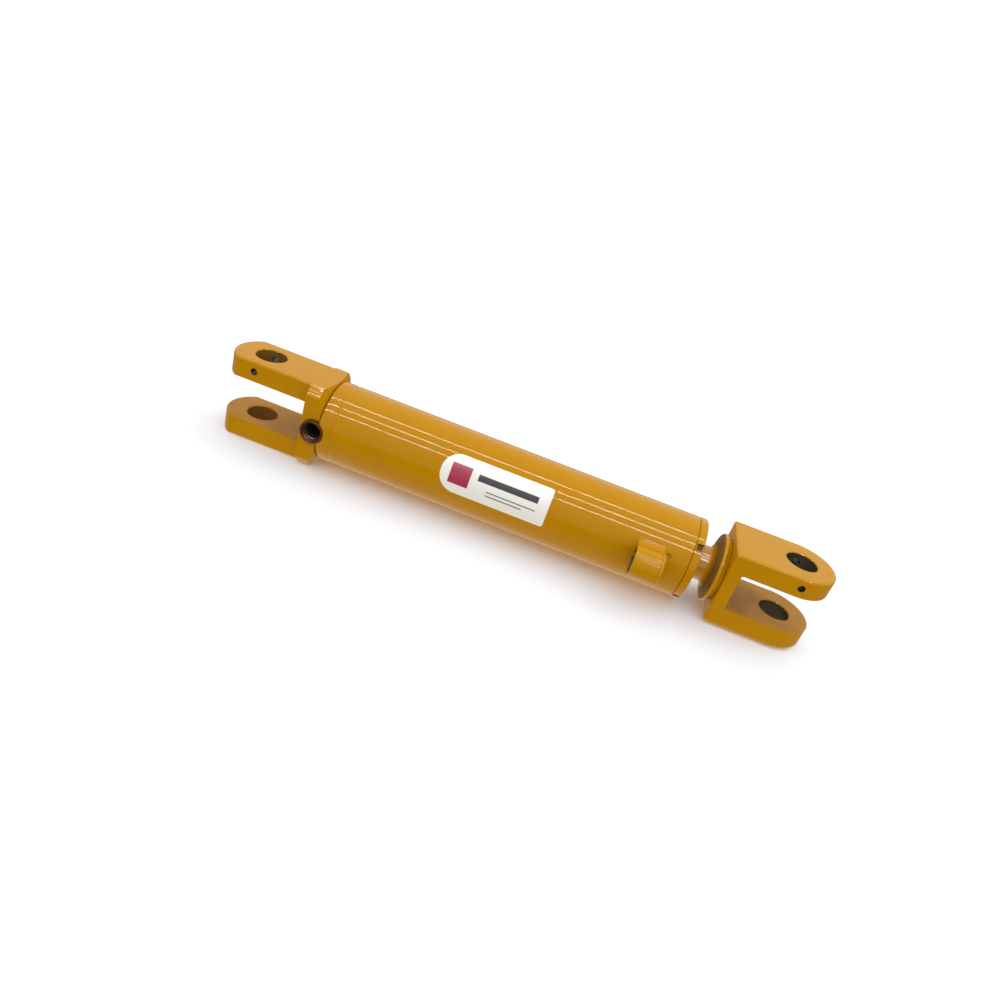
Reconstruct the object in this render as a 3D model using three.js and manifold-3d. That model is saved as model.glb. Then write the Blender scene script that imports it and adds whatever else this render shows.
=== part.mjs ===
// Welded hydraulic cylinder with a clevis at each end, lying on its side with the rod in.
// Millimetres, +Z up. The tube's axis runs along X, and the pins stand along Z.
// The origin is on the resting plane, under the middle of the base clevis' block.
import * as THREE from 'three';
import { mergeVertices } from 'three/addons/utils/BufferGeometryUtils.js';
import Module from 'manifold-3d';

const wasm = await Module();
wasm.setup();

// ---- Driving dimensions -------------------------------------------------------------
const GAP = 0.3; // clearance between pieces that touch
const SIDES = 36; // facets on the large round surfaces
const SMALL_SIDES = 24; // facets on holes, ports and screws

const BORE = 76.2; // 3 inch bore
const TUBE_OD = 88.9; // 3 1/2 inch tube
const ROD_D = 38.1; // 1 1/2 inch rod
const PIN_TO_PIN = 600; // retracted
const STROKE = 300;
const PIN_HOLE_D = 33.4; // takes a 1 1/4 inch pin with room for its bush or grease

const BASE_HEIGHT = 91.6; // over both ears, and the height of the part as it lies
const BASE_SLOT = 47.6; // between the ears
const ROD_HEIGHT = 86;
const ROD_SLOT = 43.2;
const CROSS_HOLE_D = 7.6; // retaining bolt's hole, across the upper ear

const BASE_PIN_X = -66;
const BASE_EAR_WIDTH = 60.6;
const BASE_CROSS_HOLE_X = -69; // a little outside the pin's middle
const BASE_EAR_RADIUS = 38.5; // the ear's end, round about the pin
const BLOCK_WIDTH = 80;
const BLOCK_CHAMFER = 9.3;
const BLOCK_START_X = -4.5;
const SEAM_X = 15.3; // where the block meets the weld
const WELD_WIDTH = 15;
const SPIGOT_LENGTH = 18; // the base's plug in the tube

const ROD_EAR_WIDTH = 76.6;
const ROD_EAR_END_X = 532.3; // middle of the ears' round end, just behind the pin
const ROD_BLOCK_LENGTH = 14;
const ROD_BACK_X = 463;
const COLLAR_X = 449.5;

const HEAD_X = 423.6; // the tube's open end
const FLANGE_LENGTH = 9;
const NOTCH_WIDTH = 7.5;
const NOTCH_DEPTH = 7;
const NOTCH_COUNT = 4;
const FIRST_NOTCH_ANGLE = 135; // degrees from +Y towards +Z
const GLAND_BODY_X = 394;
const GLAND_NOSE_R = 32;

const BASE_PORT_X = 10.2;
const BASE_PORT_OD = 26;
const PORT_THREAD_D = 17.5;
const ROD_PORT_X = 367.5;
const ROD_PORT_LENGTH = 28;
const ROD_PORT_Y = -58;
const ROD_PORT_Z = 5; // above the tube's axis
const ROD_PORT_OD = 33;
const ROD_PORT_MOUTH_D = 28;
const OIL_HOLE_X = 387;

const NUT_X = 34.6;
const PISTON_X = 50.6;
const PISTON_LENGTH = 28.5;
const STUD_D = 25.4;

const LABEL_X = 212.3;
const LABEL_LENGTH = 118.5;
const LABEL_HEIGHT = 43; // along the curve
const LABEL_ANGLE = 160; // its middle, degrees from +Y towards +Z
const LABEL_THICKNESS = 0.5;

const LOCK_SCREW_X = 401.6;
const LOCK_SCREW_ANGLE = 160;

// ---- Worked-out values --------------------------------------------------------------
const AXIS_Z = BASE_HEIGHT / 2;
const BORE_R = BORE / 2;
const TUBE_R = TUBE_OD / 2;
const ROD_R = ROD_D / 2;
const ROD_PIN_X = BASE_PIN_X + PIN_TO_PIN;
const ROD_SLOT_X = ROD_BACK_X + ROD_BLOCK_LENGTH;
const TUBE_START_X = SEAM_X + WELD_WIDTH;
const FIT_R = BORE_R - GAP; // pieces that sit in the bore
const PISTON_END_X = PISTON_X + PISTON_LENGTH;
const GLAND_NOSE_X = PISTON_END_X + STROKE + 0.9; // the piston stops just short of it
const PAST = 2; // how far a cutter runs past a face

// ---- Finishes -----------------------------------------------------------------------
const finish = (color, roughness, metalness) => ({ color, roughness, metalness });
const YELLOW = finish(0xd79a1e, 0.3, 0.0);
const STEEL = finish(0x8f8f8c, 0.35, 1.0);
const CHROME = finish(0xd8dade, 0.12, 1.0);
const RUBBER = finish(0x1a1a1c, 0.7, 0.0);
const POLYURETHANE = finish(0x6e2430, 0.5, 0.0);
const NYLON = finish(0x4d4a42, 0.55, 0.0);
const VINYL = finish(0xf4f3f0, 0.4, 0.0);

// ---- Solids -------------------------------------------------------------------------
function solid(geometry) {
  const bare = geometry.clone();
  bare.deleteAttribute('normal');
  bare.deleteAttribute('uv');
  const merged = mergeVertices(bare, 1e-4);
  return new wasm.Manifold(new wasm.Mesh({
    numProp: 3,
    vertProperties: merged.attributes.position.array,
    triVerts: new Uint32Array(merged.index.array),
  }));
}

function cut(body, ...tools) {
  return tools.reduce((left, tool) => left.subtract(tool), body);
}

function join(...bodies) {
  return bodies.reduce((left, right) => left.add(right));
}

function part(name, body, look) {
  const { vertProperties, triVerts } = body.getMesh();
  const geometry = new THREE.BufferGeometry();
  geometry.setAttribute('position', new THREE.BufferAttribute(new Float32Array(vertProperties), 3));
  geometry.setIndex(new THREE.BufferAttribute(new Uint32Array(triVerts), 1));
  geometry.computeVertexNormals();
  const mesh = new THREE.Mesh(geometry, new THREE.MeshStandardMaterial(look));
  mesh.name = name;
  return mesh;
}

// A round solid about the X axis from a profile of [x, radius] points, closed on itself.
function turned(profile, sides = SIDES) {
  const points = [...profile, profile[0]].reverse().map(([x, r]) => new THREE.Vector2(r, x));
  const geometry = new THREE.LatheGeometry(points, sides);
  geometry.rotateZ(-Math.PI / 2);
  return solid(geometry);
}

function ring(x0, x1, inner, outer, sides = SIDES) {
  return turned([[x0, inner], [x1, inner], [x1, outer], [x0, outer]], sides);
}

// A plain round bar between two ends along one axis.
function bar(radius, from, to, axis, sides = SMALL_SIDES) {
  const geometry = new THREE.CylinderGeometry(radius, radius, to - from, sides);
  if (axis === 'x') geometry.rotateZ(-Math.PI / 2);
  if (axis === 'z') geometry.rotateX(Math.PI / 2);
  const middle = (from + to) / 2;
  geometry.translate(axis === 'x' ? middle : 0, axis === 'y' ? middle : 0, axis === 'z' ? middle : 0);
  return solid(geometry);
}

function box(x0, x1, y0, y1, z0, z1) {
  const geometry = new THREE.BoxGeometry(x1 - x0, y1 - y0, z1 - z0);
  geometry.translate((x0 + x1) / 2, (y0 + y1) / 2, (z0 + z1) / 2);
  return solid(geometry);
}

// A shape drawn in X and Y, raised along Z about the tube's axis.
function raised(shape, height, curveSegments = 24) {
  const geometry = new THREE.ExtrudeGeometry(shape, { depth: height, bevelEnabled: false, curveSegments });
  geometry.translate(0, 0, -height / 2);
  return solid(geometry);
}

function turnAboutX(body, degrees) {
  return body.rotate([degrees, 0, 0]);
}

// ---- Clevises -----------------------------------------------------------------------
// Seen from above: straight sides and a round end. toward is -1 or 1.
function earShape(endX, rootX, halfWidth, endRadius, toward) {
  const half = Math.asin(Math.min(1, halfWidth / endRadius));
  const shape = new THREE.Shape();
  shape.moveTo(rootX, -halfWidth * toward);
  shape.lineTo(endX + toward * endRadius * Math.cos(half), -halfWidth * toward);
  const middle = toward > 0 ? 0 : Math.PI;
  shape.absarc(endX, 0, endRadius, middle - half, middle + half, false);
  shape.lineTo(rootX, halfWidth * toward);
  shape.closePath();
  return shape;
}

function pinHole(pinX) {
  return bar(PIN_HOLE_D / 2, -BASE_HEIGHT, BASE_HEIGHT, 'z').translate([pinX, 0, 0]);
}

// Halfway up the upper ear.
function crossHole(x, height, slot) {
  return bar(CROSS_HOLE_D / 2, -BLOCK_WIDTH, BLOCK_WIDTH, 'y').translate([x, 0, (height + slot) / 4]);
}

// The block is a bar with broken corners, turned down to the tube where it meets the weld.
function baseBlock() {
  const w = BLOCK_WIDTH / 2;
  const h = BASE_HEIGHT / 2;
  const c = BLOCK_CHAMFER;
  const section = new THREE.Shape([
    [-w, -h + c], [-w + c, -h], [w - c, -h], [w, -h + c],
    [w, h - c], [w - c, h], [-w + c, h], [-w, h - c],
  ].map(([y, z]) => new THREE.Vector2(y, z)));
  const length = SEAM_X - BLOCK_START_X;
  const geometry = new THREE.ExtrudeGeometry(section, { depth: length, bevelEnabled: false });
  geometry.rotateX(Math.PI / 2);
  geometry.rotateZ(Math.PI / 2);
  geometry.translate(BLOCK_START_X, 0, 0);
  const cone = turned([
    [BLOCK_START_X - PAST, 0], [SEAM_X + PAST, 0], [SEAM_X + PAST, TUBE_R - 2 * PAST],
    [SEAM_X - 8, TUBE_R + 20], [BLOCK_START_X - PAST, TUBE_R + 20],
  ]);
  return solid(geometry).intersect(cone);
}

function baseClevis() {
  const ears = raised(
    earShape(BASE_PIN_X, BLOCK_START_X + PAST, BASE_EAR_WIDTH / 2, BASE_EAR_RADIUS, -1), BASE_HEIGHT);
  const slot = box(-200, BLOCK_START_X, -BLOCK_WIDTH, BLOCK_WIDTH, -BASE_SLOT / 2, BASE_SLOT / 2);
  const spigotEnd = SEAM_X + SPIGOT_LENGTH;
  const spigot = bar(FIT_R, SEAM_X - PAST, spigotEnd, 'x', SIDES);
  const portSeat = bar(BASE_PORT_OD / 2 + GAP, -TUBE_OD, -BLOCK_WIDTH / 2 + 1, 'y');
  const portDrilling = bar(PORT_THREAD_D / 2, -TUBE_OD, 0, 'y');
  const port = join(portSeat, portDrilling).translate([BASE_PORT_X, 0, 0]);
  const oilWay = bar(6, BASE_PORT_X, spigotEnd + PAST, 'x');
  const body = join(cut(ears, slot), baseBlock(), spigot);
  const crossing = crossHole(BASE_CROSS_HOLE_X, BASE_HEIGHT, BASE_SLOT);
  return cut(body, pinHole(BASE_PIN_X), crossing, port, oilWay);
}

function rodClevis() {
  const block = raised(
    earShape(ROD_EAR_END_X, ROD_BACK_X, ROD_EAR_WIDTH / 2, ROD_EAR_WIDTH / 2, 1), ROD_HEIGHT, 32);
  const slot = box(ROD_SLOT_X, 700, -BLOCK_WIDTH, BLOCK_WIDTH, -ROD_SLOT / 2, ROD_SLOT / 2);
  const rodSocket = bar(ROD_R + GAP, ROD_BACK_X - PAST, ROD_SLOT_X - 2, 'x', SIDES);
  return cut(block, slot, rodSocket, pinHole(ROD_PIN_X), crossHole(ROD_PIN_X, ROD_HEIGHT, ROD_SLOT));
}

// ---- Barrel -------------------------------------------------------------------------
function basePortWell() {
  return bar(BASE_PORT_OD / 2 + GAP, -TUBE_OD, -BORE_R - 1, 'y').translate([BASE_PORT_X, 0, 0]);
}

function barrelTube() {
  const wall = ring(TUBE_START_X + GAP, HEAD_X, BORE_R, TUBE_R);
  const oilHole = bar(4, -TUBE_OD, 0, 'y').translate([OIL_HOLE_X, 0, 0]);
  return cut(wall, oilHole, lockScrewBar(3, BORE_R - PAST, TUBE_R + PAST));
}

function baseWeld() {
  const inner = BORE_R;
  const profile = [
    [SEAM_X + GAP, inner], [TUBE_START_X, inner], [TUBE_START_X, TUBE_R - 0.4],
    [TUBE_START_X - 2, TUBE_R + 0.3], [SEAM_X + 2, TUBE_R + 0.3], [SEAM_X + GAP, TUBE_R - 0.6],
  ];
  return cut(turned(profile), basePortWell());
}

function basePortBoss() {
  const outside = bar(BASE_PORT_OD / 2, -TUBE_R - 1, -BLOCK_WIDTH / 2 + 1 - GAP, 'y');
  const thread = bar(PORT_THREAD_D / 2, -TUBE_OD, 0, 'y');
  const seat = bar(BASE_PORT_OD / 2 - 2, -TUBE_OD, -TUBE_R + 1.5, 'y');
  return cut(outside, thread, seat).translate([BASE_PORT_X, 0, 0]);
}

function rodPortBoss() {
  const end = ROD_PORT_X + ROD_PORT_LENGTH;
  const place = [0, ROD_PORT_Y, ROD_PORT_Z];
  const outside = bar(ROD_PORT_OD / 2, ROD_PORT_X, end, 'x', SIDES).translate(place);
  const thread = bar(PORT_THREAD_D / 2, ROD_PORT_X - PAST, end - 3.5, 'x').translate(place);
  const mouth = bar(ROD_PORT_MOUTH_D / 2, ROD_PORT_X - PAST, ROD_PORT_X + 2.5, 'x').translate(place);
  const oilHole = bar(4, ROD_PORT_Y, 0, 'y').translate([OIL_HOLE_X, 0, 0]);
  const tube = bar(TUBE_R + GAP, ROD_PORT_X - PAST, end + PAST, 'x', SIDES);
  return cut(outside, tube, thread, mouth, oilHole);
}

function rodPortWeld() {
  const legs = 4; // millimetres each way
  const end = ROD_PORT_X + ROD_PORT_LENGTH;
  const place = [0, ROD_PORT_Y, ROD_PORT_Z];
  const around = bar(ROD_PORT_OD / 2 + legs - 1, ROD_PORT_X + 1, end + legs, 'x', SIDES).translate(place);
  const skin = ring(ROD_PORT_X, end + legs + PAST, TUBE_R + GAP, TUBE_R + legs);
  const boss = bar(ROD_PORT_OD / 2 + GAP, ROD_PORT_X - PAST, end + GAP, 'x', SIDES).translate(place);
  return cut(around.intersect(skin), boss);
}

function dataLabel() {
  const half = (LABEL_HEIGHT / 2 / TUBE_R) * (180 / Math.PI);
  const inner = TUBE_R + GAP;
  const band = ring(LABEL_X - LABEL_LENGTH / 2, LABEL_X + LABEL_LENGTH / 2, inner, inner + LABEL_THICKNESS);
  const wedge = new THREE.Shape();
  const reach = TUBE_OD;
  const start = THREE.MathUtils.degToRad(LABEL_ANGLE - half);
  const stop = THREE.MathUtils.degToRad(LABEL_ANGLE + half);
  wedge.moveTo(0, 0);
  wedge.lineTo(reach * Math.cos(start), reach * Math.sin(start));
  wedge.lineTo(reach * Math.cos(stop), reach * Math.sin(stop));
  wedge.closePath();
  const depth = LABEL_LENGTH + 2 * PAST;
  const geometry = new THREE.ExtrudeGeometry(wedge, { depth, bevelEnabled: false });
  geometry.rotateX(Math.PI / 2);
  geometry.rotateZ(Math.PI / 2);
  geometry.translate(LABEL_X - LABEL_LENGTH / 2 - PAST, 0, 0);
  return band.intersect(solid(geometry));
}

// ---- Head gland and its seals -------------------------------------------------------
// Grooves of the rod's seals, [start x, length, outer radius].
const ROD_SEAL_GROOVE = [406, 8, 25.5];
const BUFFER_GROOVE = [416.5, 5, 24.5];
const WIPER_GROOVE = [425.5, 8, 24];
const GUIDE_GROOVE = [384, 12, 21.8];
// Grooves around the outside, [start x, length, inner radius].
const O_RING_GROOVE = [406, 4, 34.2];
const BACKUP_GROOVE = [410, 2.5, 34.2];
const GLAND_BORE_R = ROD_R + 0.5;

function lockScrewBar(radius, from, to) {
  const pin = bar(radius, from, to, 'y', 24);
  return turnAboutX(pin, LOCK_SCREW_ANGLE).translate([LOCK_SCREW_X, 0, 0]);
}

function innerGroove([x, length, outer]) {
  return ring(x, x + length, GLAND_BORE_R - PAST, outer);
}

function outerGroove([x, length, inner]) {
  return ring(x, x + length, inner, BORE_R + PAST);
}

function spannerNotch(index) {
  const angle = FIRST_NOTCH_ANGLE + (index * 360) / NOTCH_COUNT;
  const notch = box(HEAD_X - PAST + 2, HEAD_X + FLANGE_LENGTH + PAST, TUBE_R - NOTCH_DEPTH, TUBE_R + PAST,
    -NOTCH_WIDTH / 2, NOTCH_WIDTH / 2);
  return turnAboutX(notch, angle);
}

function headGland() {
  const front = HEAD_X + FLANGE_LENGTH;
  const profile = [
    [GLAND_NOSE_X, GLAND_BORE_R], [front, GLAND_BORE_R], [front, TUBE_R - 1.5], [front - 1.5, TUBE_R],
    [HEAD_X + GAP, TUBE_R], [HEAD_X + GAP, FIT_R], [GLAND_BODY_X, FIT_R], [GLAND_BODY_X, GLAND_NOSE_R],
    [GLAND_NOSE_X, GLAND_NOSE_R],
  ];
  const grooves = [ROD_SEAL_GROOVE, BUFFER_GROOVE, WIPER_GROOVE, GUIDE_GROOVE].map(innerGroove);
  const outside = [O_RING_GROOVE, BACKUP_GROOVE].map(outerGroove);
  const notches = Array.from({ length: NOTCH_COUNT }, (_, index) => spannerNotch(index));
  return cut(turned(profile), ...grooves, ...outside, ...notches, lockScrewBar(3, FIT_R - 3.5, TUBE_R));
}

// A seal sits in its groove with the gap all round, and reaches the rod or the bore.
function rodSideRing([x, length, outer]) {
  return ring(x + GAP, x + length - GAP, ROD_R + GAP / 2, outer - GAP);
}

function boreSideRing([x, length, inner]) {
  return ring(x + GAP, x + length - GAP / 2, inner + GAP, BORE_R - GAP / 2);
}

// A U-shaped seal, open towards the oil.
function cupSeal([x, length, outer], lipDepth) {
  const lipInner = ROD_R + GAP / 2;
  const lipOuter = outer - GAP;
  const middle = (lipInner + lipOuter) / 2;
  const start = x + GAP;
  return turned([
    [start, lipInner], [x + length - GAP, lipInner], [x + length - GAP, lipOuter], [start, lipOuter],
    [start, lipOuter - 1], [start + lipDepth, middle], [start, lipInner + 1],
  ]);
}

function wiper([x, length, outer]) {
  const lipX = x + length + 1.2;
  return turned([
    [x + GAP, ROD_R + 0.6], [x + length, ROD_R + 0.6], [lipX, ROD_R + GAP / 2], [lipX, ROD_R + 1.6],
    [x + length - 1, outer - 2.2], [x + length - 2.5, outer - GAP], [x + GAP, outer - GAP],
  ]);
}

// ---- Piston and rod -----------------------------------------------------------------
// Grooves around the piston, [start x, length, inner radius].
const GUIDE_GROOVES = [[PISTON_X + 2.5, 6.5, 35.2], [PISTON_END_X - 9, 6.5, 35.2]];
const SEAL_GROOVE = [PISTON_X + 10.5, 7.5, 31.5];
const STATIC_GROOVE = [PISTON_END_X - 7, 3.6, 15.8];

function piston() {
  const radius = BORE_R - 0.6;
  const profile = [
    [PISTON_X, STUD_D / 2 + GAP], [PISTON_END_X, STUD_D / 2 + GAP], [PISTON_END_X, radius - 1.5],
    [PISTON_END_X - 1.5, radius], [PISTON_X + 1.5, radius], [PISTON_X, radius - 1.5],
  ];
  const grooves = [...GUIDE_GROOVES, SEAL_GROOVE].map(outerGroove);
  const [x, length, outer] = STATIC_GROOVE;
  return cut(turned(profile), ...grooves, ring(x, x + length, STUD_D / 2 - PAST, outer));
}

function pistonLockNut() {
  const across = 41.3; // 1 5/8 inch across flats
  const radius = across / Math.sqrt(3);
  const end = PISTON_X - GAP;
  const hex = bar(radius, NUT_X, end, 'x', 6);
  const edge = turned([
    [NUT_X, 0], [end, 0], [end, radius - 1.6], [end - 1.4, radius + 1], [NUT_X + 1.4, radius + 1],
    [NUT_X, radius - 1.6],
  ]);
  return cut(hex.intersect(edge), bar(STUD_D / 2 + GAP, NUT_X - PAST, end + PAST, 'x', SIDES));
}

function pistonRod() {
  const end = ROD_SLOT_X - 2 - GAP;
  const shoulder = PISTON_END_X + GAP;
  return turned([
    [NUT_X + 2, 0], [end, 0], [end, ROD_R], [shoulder + 1, ROD_R], [shoulder, ROD_R - 1],
    [shoulder, STUD_D / 2], [NUT_X + 3.5, STUD_D / 2], [NUT_X + 2, STUD_D / 2 - 1.5],
  ]);
}

function rodCollar() {
  const inner = ROD_R + GAP;
  return turned([
    [COLLAR_X, inner], [ROD_BACK_X - GAP, inner], [ROD_BACK_X - GAP, 33.5], [COLLAR_X + 8, 37.5],
    [COLLAR_X + 5.5, 37.5], [COLLAR_X, 24],
  ]);
}

function rodWeld() {
  const inner = ROD_R + GAP;
  const back = COLLAR_X - GAP;
  return turned([[back - 3.6, inner], [back, inner], [back, inner + 3.8], [back - 1, inner + 3]]);
}

// ---- The assembly -------------------------------------------------------------------
const barrel = new THREE.Group();
barrel.add(
  part('barrel_tube', barrelTube(), YELLOW),
  part('base_clevis', baseClevis(), YELLOW),
  part('base_weld', baseWeld(), YELLOW),
  part('base_port_boss', basePortBoss(), STEEL),
  part('rod_port_boss', rodPortBoss(), YELLOW),
  part('rod_port_weld', rodPortWeld(), YELLOW),
  part('head_gland', headGland(), YELLOW),
  part('gland_o_ring', boreSideRing(O_RING_GROOVE), RUBBER),
  part('gland_backup_ring', boreSideRing(BACKUP_GROOVE), NYLON),
  part('gland_wear_ring', rodSideRing(GUIDE_GROOVE), NYLON),
  part('gland_lock_screw', lockScrewBar(2.6, FIT_R - 3, TUBE_R - 1.6), STEEL),
  part('rod_seal', cupSeal(ROD_SEAL_GROOVE, 4), POLYURETHANE),
  part('rod_buffer_seal', cupSeal(BUFFER_GROOVE, 2), POLYURETHANE),
  part('rod_wiper', wiper(WIPER_GROOVE), RUBBER),
  part('data_label', dataLabel(), VINYL),
);

const pistonRings = new THREE.Group();
pistonRings.add(
  part('piston_seal', boreSideRing([SEAL_GROOVE[0], SEAL_GROOVE[1], 34.6]), POLYURETHANE),
  part('piston_seal_energizer', ring(SEAL_GROOVE[0] + 1, SEAL_GROOVE[0] + 6.5, 31.9, 34.6), RUBBER),
);
GUIDE_GROOVES.forEach((groove, index) => {
  pistonRings.add(part(`piston_wear_ring_${index + 1}`, boreSideRing(groove), NYLON));
});

const rodAssembly = new THREE.Group();
rodAssembly.add(
  part('piston', piston(), STEEL),
  part('piston_o_ring', ring(STATIC_GROOVE[0] + GAP, STATIC_GROOVE[0] + 3.3, 13.1, 15.4), RUBBER),
  part('piston_lock_nut', pistonLockNut(), STEEL),
  part('piston_rod', pistonRod(), CHROME),
  part('rod_collar', rodCollar(), YELLOW),
  part('rod_weld', rodWeld(), YELLOW),
  part('rod_clevis', rodClevis(), YELLOW),
);

const cylinder = new THREE.Group();
cylinder.add(barrel, pistonRings, rodAssembly);
cylinder.position.z = AXIS_Z;

export default cylinder;
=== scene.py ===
"""Detailed visual model of a welded hydraulic cylinder with a clevis at each end.

The tube's axis runs along X and both clevis pins stand along Z. Sizes inside the classes are in
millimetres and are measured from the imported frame's own pieces wherever a piece has a twin there.
"""

import logging
import math
from collections.abc import Callable, Sequence
from dataclasses import dataclass, field
from enum import Enum
from typing import ClassVar

import bpy
from mathutils import Matrix, Vector


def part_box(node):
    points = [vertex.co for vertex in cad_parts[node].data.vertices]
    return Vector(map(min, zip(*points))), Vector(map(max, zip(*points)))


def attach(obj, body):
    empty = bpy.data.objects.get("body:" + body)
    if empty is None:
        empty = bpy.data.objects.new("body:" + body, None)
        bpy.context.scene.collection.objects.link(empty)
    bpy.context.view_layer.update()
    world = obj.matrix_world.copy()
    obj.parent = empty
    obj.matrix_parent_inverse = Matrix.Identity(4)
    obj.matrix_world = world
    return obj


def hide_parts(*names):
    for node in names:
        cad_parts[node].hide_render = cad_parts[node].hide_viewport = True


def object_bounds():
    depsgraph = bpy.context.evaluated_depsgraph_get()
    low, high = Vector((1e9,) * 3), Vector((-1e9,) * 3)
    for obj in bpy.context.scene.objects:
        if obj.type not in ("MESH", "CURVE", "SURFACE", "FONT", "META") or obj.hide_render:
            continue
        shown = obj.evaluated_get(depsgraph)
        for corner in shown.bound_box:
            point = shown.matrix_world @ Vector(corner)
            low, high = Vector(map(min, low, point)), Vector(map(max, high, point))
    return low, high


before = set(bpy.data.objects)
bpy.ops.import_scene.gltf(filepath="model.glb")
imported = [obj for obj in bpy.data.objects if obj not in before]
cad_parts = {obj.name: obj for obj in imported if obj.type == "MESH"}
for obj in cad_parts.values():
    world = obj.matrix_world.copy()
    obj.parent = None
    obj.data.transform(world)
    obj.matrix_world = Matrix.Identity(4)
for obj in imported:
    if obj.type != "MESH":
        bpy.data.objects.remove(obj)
cad_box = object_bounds()

log = logging.getLogger("cylinder")

MM = 0.001
PIN_HOLE_RADIUS = 16.7  # mm, takes a 1 1/4 inch pin
THREAD_PITCH = 25.4 / 16  # mm, of the ports' 3/4-16 thread
THREAD_DRILL_RADIUS = 8.75  # mm

Piece = bpy.types.Object
Profile = Sequence[tuple[float, float]]


class Axis(Enum):
    """Direction in which a round bar lies, with the turn that lays a standing bar along it."""

    X = (0.0, math.pi / 2, 0.0)
    Y = (math.pi / 2, 0.0, 0.0)
    Z = (0.0, 0.0, 0.0)


class Body(Enum):
    """Moving bodies of the frame."""

    BARREL = "barrel"
    RINGS = "piston_rings"
    ROD = "rod"


class Join(Enum):
    """Ways in which one solid works on another."""

    CUT = "DIFFERENCE"
    WELD = "UNION"
    KEEP_COMMON = "INTERSECT"


@dataclass(frozen=True)
class Extent:
    """Room that a node of the frame takes up, in millimetres."""

    low: Vector
    high: Vector

    @classmethod
    def of(cls, node: str) -> "Extent":
        """Extent of the named node of the frame."""
        low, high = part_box(node)
        return cls(Vector(low) / MM, Vector(high) / MM)

    @property
    def middle(self) -> Vector:
        """Centre of the extent."""
        return (self.low + self.high) / 2

    @property
    def size(self) -> Vector:
        """Lengths of its sides."""
        return self.high - self.low


TUBE = Extent.of("barrel_tube")
AXIS_Z = TUBE.middle.z
TUBE_RADIUS = TUBE.size.z / 2
ROD_RADIUS = 19.05  # mm
BORE_RADIUS = 38.1  # mm
LOCK_SCREW_ANGLE = 160.0  # degrees about X from +Y, where the label sits as well


# ---- Modelling -----------------------------------------------------------------------------------


def deselect_all() -> None:
    """Leaves object mode with nothing selected."""
    if bpy.context.mode != "OBJECT":
        bpy.ops.object.mode_set(mode="OBJECT")
    bpy.ops.object.select_all(action="DESELECT")


def make_active(piece: Piece) -> None:
    """Selects one piece and nothing else.

    Args:
        piece: The piece that the next operators act on.
    """
    deselect_all()
    piece.select_set(True)
    bpy.context.view_layer.objects.active = piece


def settle(name: str) -> Piece:
    """Names the primitive just added and moves its place into its mesh.

    Args:
        name: Name of the piece.

    Returns:
        The piece, at the origin, unturned and unscaled.
    """
    piece = bpy.context.active_object
    piece.name = name
    piece.data.name = name
    bpy.ops.object.transform_apply(location=True, rotation=True, scale=True)
    return piece


def bar(name: str, radius: float, length: float, centre: Sequence[float], axis: Axis,
        sides: int = 64) -> Piece:
    """Adds a round bar.

    Args:
        name: Name of the piece.
        radius: Radius in millimetres.
        length: Length in millimetres.
        centre: Middle of the bar in millimetres.
        axis: Direction it lies in.
        sides: Facets round it.

    Returns:
        The bar.
    """
    deselect_all()
    bpy.ops.mesh.primitive_cylinder_add(
        vertices=sides, radius=radius * MM, depth=length * MM,
        location=Vector(centre) * MM, rotation=axis.value)
    return settle(name)


def block(name: str, low: Sequence[float], high: Sequence[float]) -> Piece:
    """Adds a rectangular block between two corners.

    Args:
        name: Name of the piece.
        low: Lowest corner in millimetres.
        high: Highest corner in millimetres.

    Returns:
        The block.
    """
    deselect_all()
    a, b = Vector(low) * MM, Vector(high) * MM
    bpy.ops.mesh.primitive_cube_add(size=1.0, location=(a + b) / 2, scale=b - a)
    return settle(name)


def turned(name: str, profile: Profile, closed: bool = True, sides: int = 144) -> Piece:
    """Turns a profile about the tube's axis, ring by ring.

    Args:
        name: Name of the piece.
        profile: Points as (X, radius) in millimetres.
        closed: True for a ring with a bore, False for a solid with flat ends.
        sides: Facets round it.

    Returns:
        The turned piece.
    """
    deselect_all()
    points = list(profile)
    start_x, start_r = points[0]
    bpy.ops.mesh.primitive_circle_add(
        vertices=sides, radius=start_r * MM, fill_type="NOTHING",
        location=(start_x * MM, 0.0, AXIS_Z * MM), rotation=Axis.X.value)
    piece = settle(name)
    bpy.ops.object.mode_set(mode="EDIT")
    bpy.ops.mesh.select_all(action="SELECT")
    stations = points + points[:1] if closed else points
    for (from_x, from_r), (to_x, to_r) in zip(stations, stations[1:]):
        step = ((to_x - from_x) * MM, 0.0, 0.0)
        bpy.ops.mesh.extrude_region_move(TRANSFORM_OT_translate={"value": step})
        ratio = to_r / from_r
        bpy.ops.transform.resize(value=(1.0, ratio, ratio), center_override=(to_x * MM, 0.0, AXIS_Z * MM))
    bpy.ops.mesh.select_all(action="SELECT")
    bpy.ops.mesh.remove_doubles(threshold=2e-6)
    if not closed:
        bpy.ops.mesh.fill_holes(sides=0)
    bpy.ops.mesh.select_all(action="SELECT")
    bpy.ops.mesh.normals_make_consistent(inside=False)
    bpy.ops.object.mode_set(mode="OBJECT")
    return piece


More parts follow.
